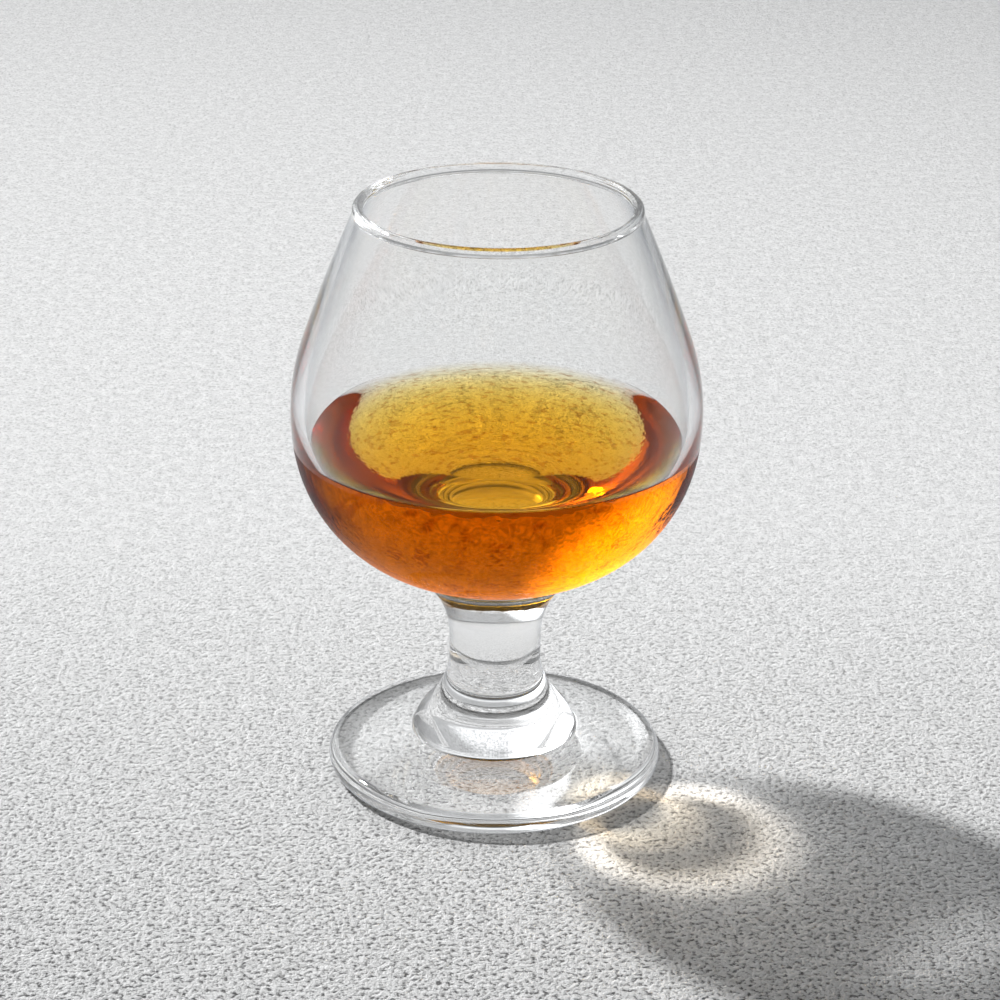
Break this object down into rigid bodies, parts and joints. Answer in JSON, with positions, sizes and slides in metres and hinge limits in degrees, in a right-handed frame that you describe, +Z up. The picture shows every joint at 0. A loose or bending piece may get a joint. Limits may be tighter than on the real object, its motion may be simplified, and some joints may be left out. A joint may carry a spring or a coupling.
{
  "type": "brandy snifter",
  "caption": "Short-stemmed balloon glass with a domed round foot and a bowl that narrows to a beaded rim, holding a measure of amber brandy that can be swirled.",
  "frame": {"origin": "centre of the flat ring that the foot stands on", "axes": "+Z up along the glass's axis of revolution, from the foot to the rim"},
  "size_m": [0.08, 0.08, 0.1178],
  "materials": {
    "foot_glass": "clear pressed glass, fire-polished",
    "stem_glass": "clear drawn glass, fire-polished",
    "bowl_glass": "clear blown glass, fire-polished rim",
    "brandy": "clear amber liquid"
  },
  "bodies": {
    "glass": {"foot": "foot_glass", "stem": "stem_glass", "bowl": "bowl_glass"},
    "drink": {"brandy": "brandy"}
  },
  "joints": [
    {"name": "brandy_swirl", "type": "hinge", "parent": "glass", "child": "drink", "pos_m": [0, 0, 0.058], "axis": [0, 0, 1], "continuous": true}
  ]
}
